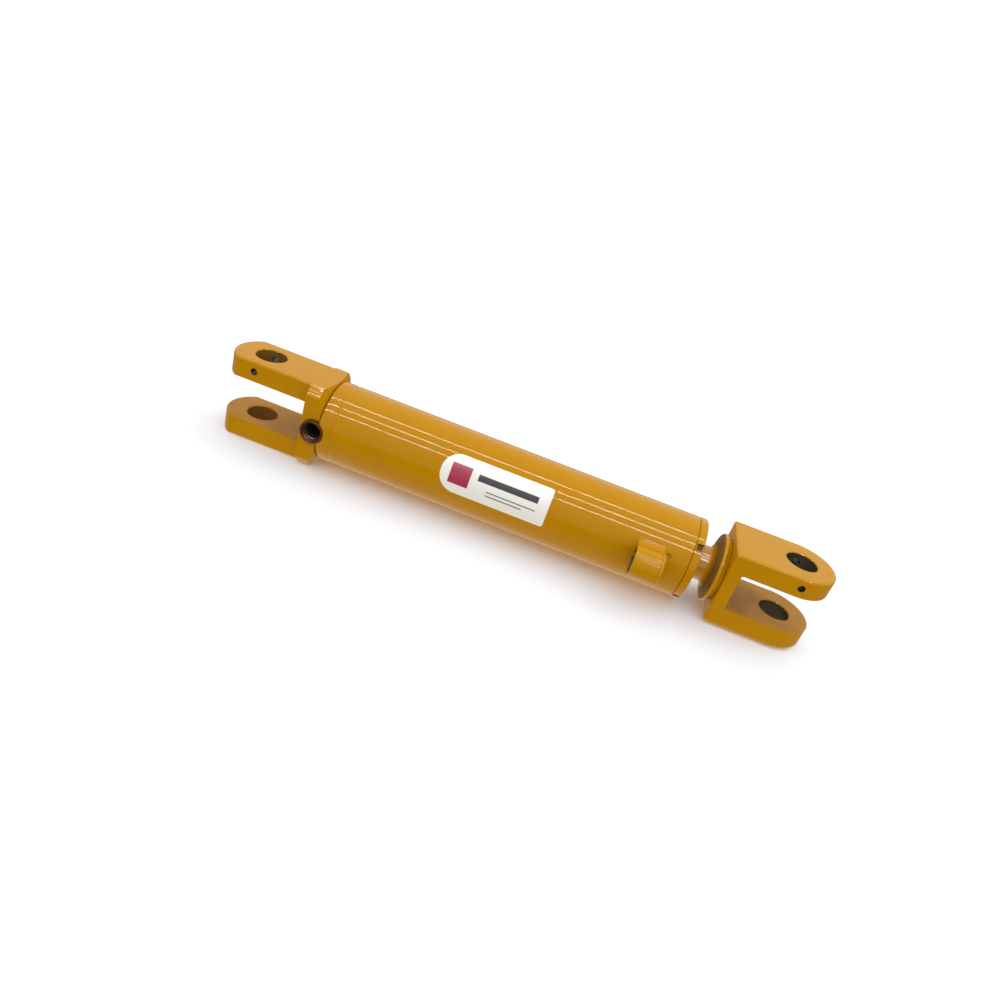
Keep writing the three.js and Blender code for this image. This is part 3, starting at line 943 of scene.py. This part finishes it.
@dataclass
class RodPort:
    """The boss of the rod's end, welded along the tube, with its mouth towards the base."""

    mouth_radius: float = 14.0
    leg: float = 9.0

    def build(self) -> None:
        """Builds and dresses the boss and its weld."""
        self.boss()
        self.weld()

    def boss(self) -> None:
        """Makes the boss with its spot face and thread."""
        seat = Extent.of("rod_port_boss")
        radius = seat.size.z / 2
        centre_y = seat.low.y + radius
        x0, x1 = seat.low.x, seat.high.x
        piece = turned("rod_port_boss_body", [
            (x0, self.mouth_radius + 0.4), (x0, radius - 0.8), (x0 + 0.3, radius - 0.25),
            (x0 + 1.0, radius), (x1 - 2.2, radius), (x1 - 0.7, radius - 0.6), (x1, radius - 2.0),
            (x1, 0.6), (x1 - 3.4, 0.6), (x1 - 3.4, THREAD_DRILL_RADIUS),
            (x0 + 4.0, THREAD_DRILL_RADIUS), (x0 + 2.5, THREAD_DRILL_RADIUS + 1.6),
            (x0 + 2.5, self.mouth_radius), (x0 + 0.5, self.mouth_radius)], sides=128)
        work(piece, thread_tool(THREAD_DRILL_RADIUS - 0.2, x0 + 3.2, x1 - 5.0), Join.CUT)
        carry(piece, (0.0, centre_y, seat.middle.z - AXIS_Z))
        work(piece, bar("tube_side", TUBE_RADIUS + 0.05, 60.0, ((x0 + x1) / 2, 0.0, AXIS_Z), Axis.X, 192),
             Join.CUT)
        smooth(piece)
        dress(piece, Body.BARREL, "yellow_paint", YELLOW_ENAMEL, "rod_port_boss")

        def masked(centre: Vector, normal: Vector) -> bool:
            """Tells whether a face lies inside the boss's mouth."""
            away = math.hypot(centre.y - centre_y, centre.z - seat.middle.z)
            return away < self.mouth_radius + 0.1 and centre.x < x1 - 3.0

        line_with(piece, OILED_STEEL, masked)

    def weld(self) -> None:
        """Makes the hollow fillets of weld along the boss and the bead across its blind end."""
        boss = Extent.of("rod_port_boss")
        radius = boss.size.z / 2
        y, z = boss.low.y + radius, boss.middle.z - AXIS_Z
        x0, x1 = boss.low.x + 0.6, boss.high.x
        apart = math.hypot(y, z)
        reach = TUBE_RADIUS + self.leg
        along = (reach ** 2 - (radius + self.leg) ** 2 + apart ** 2) / (2 * apart)
        aside = math.sqrt(reach ** 2 - along ** 2)
        hollows = [((along * y - side * aside * z) / apart, (along * z + side * aside * y) / apart)
                   for side in (-1.0, 1.0)]
        piece = prism("rod_port_weld_body", ((0.0, 0.0), hollows[0], (y, z), hollows[1]), x0, x1 + 1.0)
        for hollow in hollows:
            centre = ((x0 + x1) / 2, hollow[0], AXIS_Z + hollow[1])
            work(piece, bar("hollow", self.leg, x1 - x0 + 20.0, centre, Axis.X, 96), Join.CUT)
        bead = turned("bead", [
            (x1 - 1.6, radius - 5.0), (x1 - 1.6, radius - 0.4), (x1 - 1.2, radius + 0.5),
            (x1 - 0.2, radius + 1.0), (x1 + 1.0, radius + 0.9), (x1 + 2.2, radius + 0.1),
            (x1 + 3.0, radius - 1.6), (x1 + 3.2, radius - 3.4), (x1 + 3.2, radius - 5.0)], sides=96)
        carry(bead, (0.0, y, z))
        work(piece, bead, Join.WELD)
        centre = ((x0 + x1) / 2 - 0.3, y, AXIS_Z + z)
        work(piece, bar("boss_side", radius - 0.4, x1 - x0 + 0.6, centre, Axis.X, 96), Join.CUT)
        work(piece, bar("tube_side", TUBE_RADIUS - 0.3, 80.0, (centre[0], 0.0, AXIS_Z), Axis.X, 192),
             Join.CUT)
        smooth(piece, 40.0)
        dress(piece, Body.BARREL, "yellow_paint", YELLOW_ENAMEL, "rod_port_weld")


@dataclass
class HeadGland:
    """The screwed head with its spanner notches, the lock screw and the wiper."""

    notch_count: int = 4
    first_notch: float = 135.0
    notch_width: float = 7.5
    notch_depth: float = 7.0
    nose_radius: float = 32.0
    wiper_seat_radius: float = 23.6
    screw_radius: float = 2.6
    screw_socket_radius: float = 1.45

    def build(self) -> None:
        """Builds and dresses the head, the lock screw and the wiper."""
        self.head()
        self.lock_screw()
        self.wiper()

    def head(self) -> None:
        """Makes the head and mills its notches."""
        seat = Extent.of("head_gland")
        nose, front = seat.low.x, seat.high.x
        shoulder = TUBE.high.x + 0.3
        r, hole = TUBE_RADIUS, ROD_RADIUS + 0.5
        piece = turned("head_gland_body", [
            (nose, hole + 0.8), (nose + 0.8, hole), (front - 9.0, hole),
            (front - 9.0, self.wiper_seat_radius), (front - 0.5, self.wiper_seat_radius),
            (front, 24.2), (front, r - 1.7), (front - 0.3, r - 0.9),
            (front - 0.8, r - 0.35), (front - 1.6, r), (shoulder + 0.9, r), (shoulder + 0.25, r - 0.25),
            (shoulder, r - 0.9), (shoulder, BORE_RADIUS - 0.3), (shoulder - 29.0, BORE_RADIUS - 0.3),
            (shoulder - 29.0, self.nose_radius), (nose, self.nose_radius)], sides=192)
        for index in range(self.notch_count):
            half = self.notch_width / 2
            tool = block("notch", (shoulder + 1.2, r - self.notch_depth, AXIS_Z - half),
                         (front + 4.0, r + 4.0, AXIS_Z + half))
            ease(tool, 0.6, 2, 50.0)
            angle = self.first_notch + index * 360.0 / self.notch_count
            carry(tool, (0, 0, 0), (angle, Axis.X), (0.0, 0.0, AXIS_Z))
            work(piece, tool, Join.CUT)
        smooth(piece)
        dress(piece, Body.BARREL, "yellow_paint", YELLOW_ENAMEL, "head_gland")

        def in_notch(centre: Vector, normal: Vector) -> bool:
            """Tells whether a face is a notch's wall or floor."""
            away = math.hypot(centre.y, centre.z - AXIS_Z)
            outward = Vector((0.0, centre.y, centre.z - AXIS_Z)).normalized()
            floor = abs(away - (r - self.notch_depth)) < 0.6 and normal.dot(outward) > 0.9
            wall = away > r - self.notch_depth - 0.2 and abs(normal.x) < 0.3 and normal.dot(outward) < 0.5
            return centre.x > shoulder + 1.0 and (floor or wall)

        # Painted shade: the notches' walls and floors get the dark brown enamel for the shade inside
        # them.
        line_with(piece, THIN_ENAMEL_AND_SHADE, in_notch)

    def lock_screw(self) -> None:
        """Makes the grub screw that stops the head from turning, painted over."""
        x = Extent.of("gland_lock_screw").middle.x
        low = BORE_RADIUS - 3.3
        high = TUBE_RADIUS - 0.7
        piece = bar("gland_lock_screw_body", self.screw_radius, high - low,
                    (x, (low + high) / 2, AXIS_Z), Axis.Y, 40)
        socket = bar("socket", self.screw_socket_radius, 3.0, (x, high, AXIS_Z), Axis.Y, 6)
        work(piece, socket, Join.CUT)
        ease(piece, 0.3, 2, 40.0)
        carry(piece, (0, 0, 0), (LOCK_SCREW_ANGLE, Axis.X), (0.0, 0.0, AXIS_Z))
        smooth(piece)
        dress(piece, Body.BARREL, "bare_steel", YELLOW_ENAMEL, "gland_lock_screw")

    def wiper(self) -> None:
        """Makes the wiper, a ring with a lip that hugs the rod."""
        seat = Extent.of("rod_wiper")
        x0, x1 = seat.low.x, seat.high.x
        inner = ROD_RADIUS + 0.15
        piece = turned("rod_wiper_body", [
            (x0 + 1.6, inner + 0.5), (x1 - 1.2, inner + 0.5), (x1, inner), (x1, inner + 0.35),
            (x1 - 0.4, inner + 0.9), (x1 - 1.6, 22.2), (x1 - 2.4, 23.2), (x1 - 3.2, 23.5),
            (x0 + 1.6, 23.5)], sides=128)
        smooth(piece)
        dress(piece, Body.BARREL, "black_rubber", NITRILE, "rod_wiper")


@dataclass
class DataLabel:
    """A white vinyl label, wrapped on the tube and printed with plain blocks."""

    angle: float = LOCK_SCREW_ANGLE
    square_corner: float = 3.0
    round_corner: float = 19.0
    height: float = 43.0

    def build(self) -> None:
        """Builds and dresses the label."""
        seat = Extent.of("data_label")
        x0, x1 = seat.low.x, seat.high.x
        piece = turned("data_label_body", [
            (x0 - 5, TUBE_RADIUS + 0.03), (x1 + 5, TUBE_RADIUS + 0.03),
            (x1 + 5, TUBE_RADIUS + 0.22), (x0 - 5, TUBE_RADIUS + 0.22)], sides=288)
        half = TUBE_RADIUS * math.sin(self.height / 2 / TUBE_RADIUS)
        outline = block("outline", (x0, 20.0, AXIS_Z - half), (x1, 60.0, AXIS_Z + half))
        middle = (x0 + x1) / 2 * MM
        for left, radius in ((True, self.round_corner), (False, self.square_corner)):
            bpy.ops.object.mode_set(mode="EDIT")
            bpy.ops.mesh.select_mode(type="EDGE")
            bpy.ops.mesh.select_all(action="DESELECT")
            bpy.ops.object.mode_set(mode="OBJECT")
            for edge in outline.data.edges:
                a, b = (outline.data.vertices[i].co for i in edge.vertices)
                edge.select = abs(a.y - b.y) > 0.001 and (a.x < middle) == left
            bpy.ops.object.mode_set(mode="EDIT")
            bpy.ops.mesh.bevel(offset=radius * MM, offset_type="OFFSET", segments=14, affect="EDGES")
            bpy.ops.object.mode_set(mode="OBJECT")
        carry(outline, (0, 0, 0), (self.angle, Axis.X), (0.0, 0.0, AXIS_Z))
        work(piece, outline, Join.KEEP_COMMON)
        smooth(piece)
        # Printed vinyl: a satin white with a band of dark red and grey rules.
        vinyl = LabelVinyl(
            "printed_vinyl", "#F6F5F1", "#F1F0EB", 0.0, 0.34, 0.03, 12.0, 1.5, 0.004,
            centre=Vector(((x0 + x1) / 2, 0.0, AXIS_Z)), angle=180.0 - self.angle,
            blocks=((-38.0, 0.0, 22.0, 22.0, "#A82440"), (14.0, 4.5, 66.0, 7.0, "#2A2A2D"),
                    (20.0, -7.0, 54.0, 1.2, "#6A6A6E"), (13.0, -11.0, 40.0, 1.2, "#6A6A6E")))
        dress(piece, Body.BARREL, "white_vinyl", vinyl, "data_label")


# ---- Rod -----------------------------------------------------------------------------------------


@dataclass
class Rod:
    """The piston rod, its collar and the weld between them."""

    stud_radius: float = 12.7
    painted_from_x: float = 432.5
    collar_back_radius: float = 33.5

    def build(self) -> None:
        """Builds and dresses rod, collar and weld."""
        self.shaft()
        self.collar()
        self.weld()

    def shaft(self) -> None:
        """Makes the rod, turned down to a stud at the piston."""
        seat = Extent.of("piston_rod")
        x0, x1 = seat.low.x, seat.high.x
        shoulder = Extent.of("piston").high.x + 0.3
        piece = turned("piston_rod_body", [
            (x0, 11.2), (x0 + 1.5, self.stud_radius), (shoulder, self.stud_radius),
            (shoulder, 18.05), (shoulder + 0.3, 18.6),
            (shoulder + 1.0, ROD_RADIUS), (x1 - 0.5, ROD_RADIUS), (x1, ROD_RADIUS - 0.5)],
            closed=False, sides=160)
        smooth(piece)
        # Hard chrome, ground and polished: bright, with the faintest lay round the rod.
        chrome = RodChrome("ground_hard_chrome", "#D2D4D6", "#C8CBCE", 1.0, 0.11, 0.03, 30.0, 0.7, 0.0015,
                           stretch=(4.0, 1.0, 1.0), painted_from=self.painted_from_x)
        dress(piece, Body.ROD, "hard_chrome", chrome, "piston_rod")

    def collar(self) -> None:
        """Makes the collar behind the clevis, flared to a narrow rim."""
        seat = Extent.of("rod_collar")
        x0, x1 = seat.low.x, seat.high.x
        rim = seat.size.z / 2
        inner = ROD_RADIUS + 0.15
        piece = turned("rod_collar_body", [
            (x0, inner), (x1, inner), (x1, self.collar_back_radius),
            (x0 + 9.2, rim - 2.4), (x0 + 8.9, rim - 0.8),
            (x0 + 8.2, rim - 0.1), (x0 + 7.4, rim), (x0 + 6.2, rim), (x0 + 5.4, rim - 0.2),
            (x0 + 4.8, rim - 0.9), (x0 + 4.4, rim - 2.0), (x0 + 3.0, 30.0), (x0 + 1.6, 25.4),
            (x0 + 0.8, 23.4), (x0 + 0.1, 22.6)], sides=192)
        smooth(piece)
        dress(piece, Body.ROD, "yellow_paint", YELLOW_ENAMEL, "rod_collar")

        def on_face(centre: Vector, normal: Vector) -> bool:
            """Tells whether a face is on the collar's flank towards the head."""
            return normal.x < -0.8 and math.hypot(centre.y, centre.z - AXIS_Z) > 24.0

        # Painted shade: the collar's flank towards the head gets the darker olive brown for the shade on
        # it.
        line_with(piece, DUSTED_STEEL_AND_SHADE, on_face)

    def weld(self) -> None:
        """Makes the small fillet between rod and collar."""
        seat = Extent.of("rod_weld")
        x0, x1 = seat.low.x, seat.high.x
        inner = ROD_RADIUS + 0.1
        hollow = [(x1 - 3.6 * (1 - math.sin(a)), inner + 3.8 * (1 - math.cos(a)))
                  for a in (math.pi / 2 * step / 6 for step in range(1, 7))]
        piece = turned("rod_weld_body", [(x0, inner), (x1, inner)] + hollow[::-1] + [(x0, inner + 0.05)],
                       sides=128)
        smooth(piece, 50.0)
        dress(piece, Body.ROD, "yellow_paint", YELLOW_ENAMEL, "rod_weld")


@dataclass
class InnerParts:
    """Pieces inside the tube, which keep the frame's own shapes."""

    finishes: tuple[tuple[Finish, tuple[str, ...]], ...] = (
        (GROUND_STEEL, ("piston", "piston_lock_nut")),
        (NITRILE, ("gland_o_ring", "piston_seal_energizer", "piston_o_ring")),
        (POLYURETHANE, ("rod_seal", "rod_buffer_seal", "piston_seal")),
        (FILLED_NYLON, ("gland_backup_ring", "gland_wear_ring", "piston_wear_ring_1",
                        "piston_wear_ring_2")),
    )

    def build(self) -> None:
        """Gives each inner piece its finish."""
        for finish, nodes in self.finishes:
            for node in nodes:
                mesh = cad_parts[node].data
                mesh.materials.clear()
                mesh.materials.append(finish.material())
                log.info("%s: %s", node, finish.name)


# ---- Studio --------------------------------------------------------------------------------------


@dataclass
class Studio:
    """A pale floor, soft light, three long strip lamps and the camera."""

    target: tuple[float, float, float] = (218.4, 0.0, -18.1)
    distance: float = 849.2
    azimuth: float = 4.49
    elevation: float = 28.75
    roll: float = 19.07
    lens: float = 27.95
    strips: tuple[float, ...] = (3.0, 24.5, 43.0)
    strip_power: float = 19.0
    key_power: float = 3.0
    sky: tuple[tuple[float, float, tuple[float, float, float]], ...] = (
        (-1.0, 1.5, (1.0, 0.90, 0.70)), (-0.7, 0.9, (1.0, 0.88, 0.66)), (-0.34, 0.28, (1.0, 0.80, 0.55)),
        (-0.08, 0.12, (1.0, 0.82, 0.60)), (-0.03, 1.04, (1.0, 1.0, 1.0)), (0.4, 1.1, (1.0, 1.0, 1.0)),
        (0.7, 1.2, (1.0, 1.0, 1.0)))

    def build(self) -> None:
        """Sets up floor, light and camera."""
        self.floor()
        self.world()
        self.lamps()
        self.camera()
        bpy.context.scene.view_settings.view_transform = "Standard"

    def floor(self) -> None:
        """Lays a matt white floor under the cylinder."""
        deselect_all()
        bpy.ops.mesh.primitive_plane_add(size=80.0, location=(0.2, 0.0, cad_box[0][2] - 0.0002))
        ground = settle("studio_floor")
        white = Finish("studio_paper", "#F7FAFF", "#F5F8FD", 0.0, 0.9, 0.02, 60.0, 5.0, 0.001,
                       specular=0.0)
        ground.data.materials.append(white.material())
        ground.visible_glossy = False
        ground.visible_diffuse = False

    def world(self) -> None:
        """Sets a white sky over a dim warm surround, with the floor's warm glow straight below."""
        world = bpy.data.worlds.new("studio")
        bpy.context.scene.world = world
        world.use_nodes = True
        tree = world.node_tree
        tree.nodes.clear()
        aim = add_node(tree, "ShaderNodeTexCoord").outputs["Generated"]
        height = add_node(tree, "ShaderNodeSeparateXYZ", None, Vector=aim).outputs[2]
        place = add_node(tree, "ShaderNodeMapRange", None, Value=height, From_Min=-1.0).outputs[0]
        ramp = add_node(tree, "ShaderNodeValToRGB", None, Fac=place)
        brightest = max(level for _, level, _ in self.sky)
        stops = ramp.color_ramp.elements
        for index, (up, level, tint) in enumerate(self.sky):
            stop = stops[index] if index < 2 else stops.new((up + 1) / 2)
            stop.position = (up + 1) / 2
            stop.color = (*(level / brightest * part for part in tint), 1.0)
        light = add_node(tree, "ShaderNodeBackground", None, Color=ramp.outputs[0], Strength=brightest)
        add_node(tree, "ShaderNodeOutputWorld", None, Surface=light.outputs[0])

    def lamp(self, name: str, place: Vector, aim: Vector, size: tuple[float, float],
             power: float) -> Piece:
        """Adds an area lamp whose long side lies along X.

        Args:
            name: Name of the lamp.
            place: Its place in metres.
            aim: Point it faces, in metres.
            size: Length and width in metres.
            power: Power in watts.

        Returns:
            The lamp.
        """
        lamp = bpy.data.lights.new(name, "AREA")
        lamp.shape = "RECTANGLE"
        lamp.size, lamp.size_y = size
        lamp.energy = power
        stand = bpy.data.objects.new(name, lamp)
        stand.location = place
        stand.rotation_euler = (aim - place).to_track_quat("-Z", "Y").to_euler()
        bpy.context.collection.objects.link(stand)
        return stand

    def lamps(self) -> None:
        """Places the strips and the soft key lamp."""
        aim = Vector((0.2, 0.0, AXIS_Z * MM))
        for index, angle in enumerate(self.strips):
            turn = math.radians(angle)
            place = aim + Vector((0.0, -math.sin(turn), math.cos(turn))) * 1.3
            strip = self.lamp(f"strip_{index + 1}", place, aim, (2.6, 0.05), self.strip_power)
            strip.visible_diffuse = False
        key = self.lamp("key", aim + Vector((0.9, 0.6, 1.3)), aim, (1.2, 0.8), self.key_power)
        key.visible_glossy = False

    def camera(self) -> None:
        """Places the camera by its aim, distance and three angles."""
        aim = (Vector(self.target) + Vector((0.0, 0.0, AXIS_Z))) * MM
        az, el, roll = (math.radians(v) for v in (self.azimuth, self.elevation, self.roll))
        forward = Vector((-math.sin(az) * math.cos(el), math.cos(az) * math.cos(el), -math.sin(el)))
        data = bpy.data.cameras.new("camera")
        data.lens = self.lens
        data.sensor_width = 36.0
        data.clip_start = 0.01
        eye = bpy.data.objects.new("camera", data)
        eye.location = aim - forward * self.distance * MM
        right = Vector((math.cos(az), math.sin(az), 0.0))
        up = right.cross(forward)
        tilted_right = math.cos(roll) * right + math.sin(roll) * up
        tilted_up = -math.sin(roll) * right + math.cos(roll) * up
        eye.rotation_euler = Matrix((tilted_right, tilted_up, -forward)).transposed().to_euler()
        bpy.context.collection.objects.link(eye)
        bpy.context.scene.camera = eye


def main() -> None:
    """Builds the cylinder's sub-assemblies in order, then the studio."""
    logging.basicConfig(level=logging.INFO, format="%(name)s %(message)s")
    base = Extent.of("base_clevis")
    rod_end = Extent.of("rod_clevis")
    BaseClevis("base_clevis", Body.BARREL, -1.0, end_x=-66.0, root_x=-2.5, half_width=30.3,
               end_radius=38.5, height=base.size.z, slot_height=47.6, slot_x=-4.5, pin_x=-66.0,
               cross_x=-69.0).build()
    Barrel().build()
    BasePort().build()
    RodPort().build()
    HeadGland().build()
    DataLabel().build()
    Rod().build()
    width = rod_end.size.y / 2
    RodClevis("rod_clevis", Body.ROD, 1.0, end_x=rod_end.high.x - width, root_x=rod_end.low.x,
              half_width=width, end_radius=width, height=rod_end.size.z, slot_height=43.2,
              slot_x=rod_end.low.x + 14.0, pin_x=534.0, cross_x=534.0).build()
    InnerParts().build()
    Studio().build()


if __name__ == "__main__":
    main()
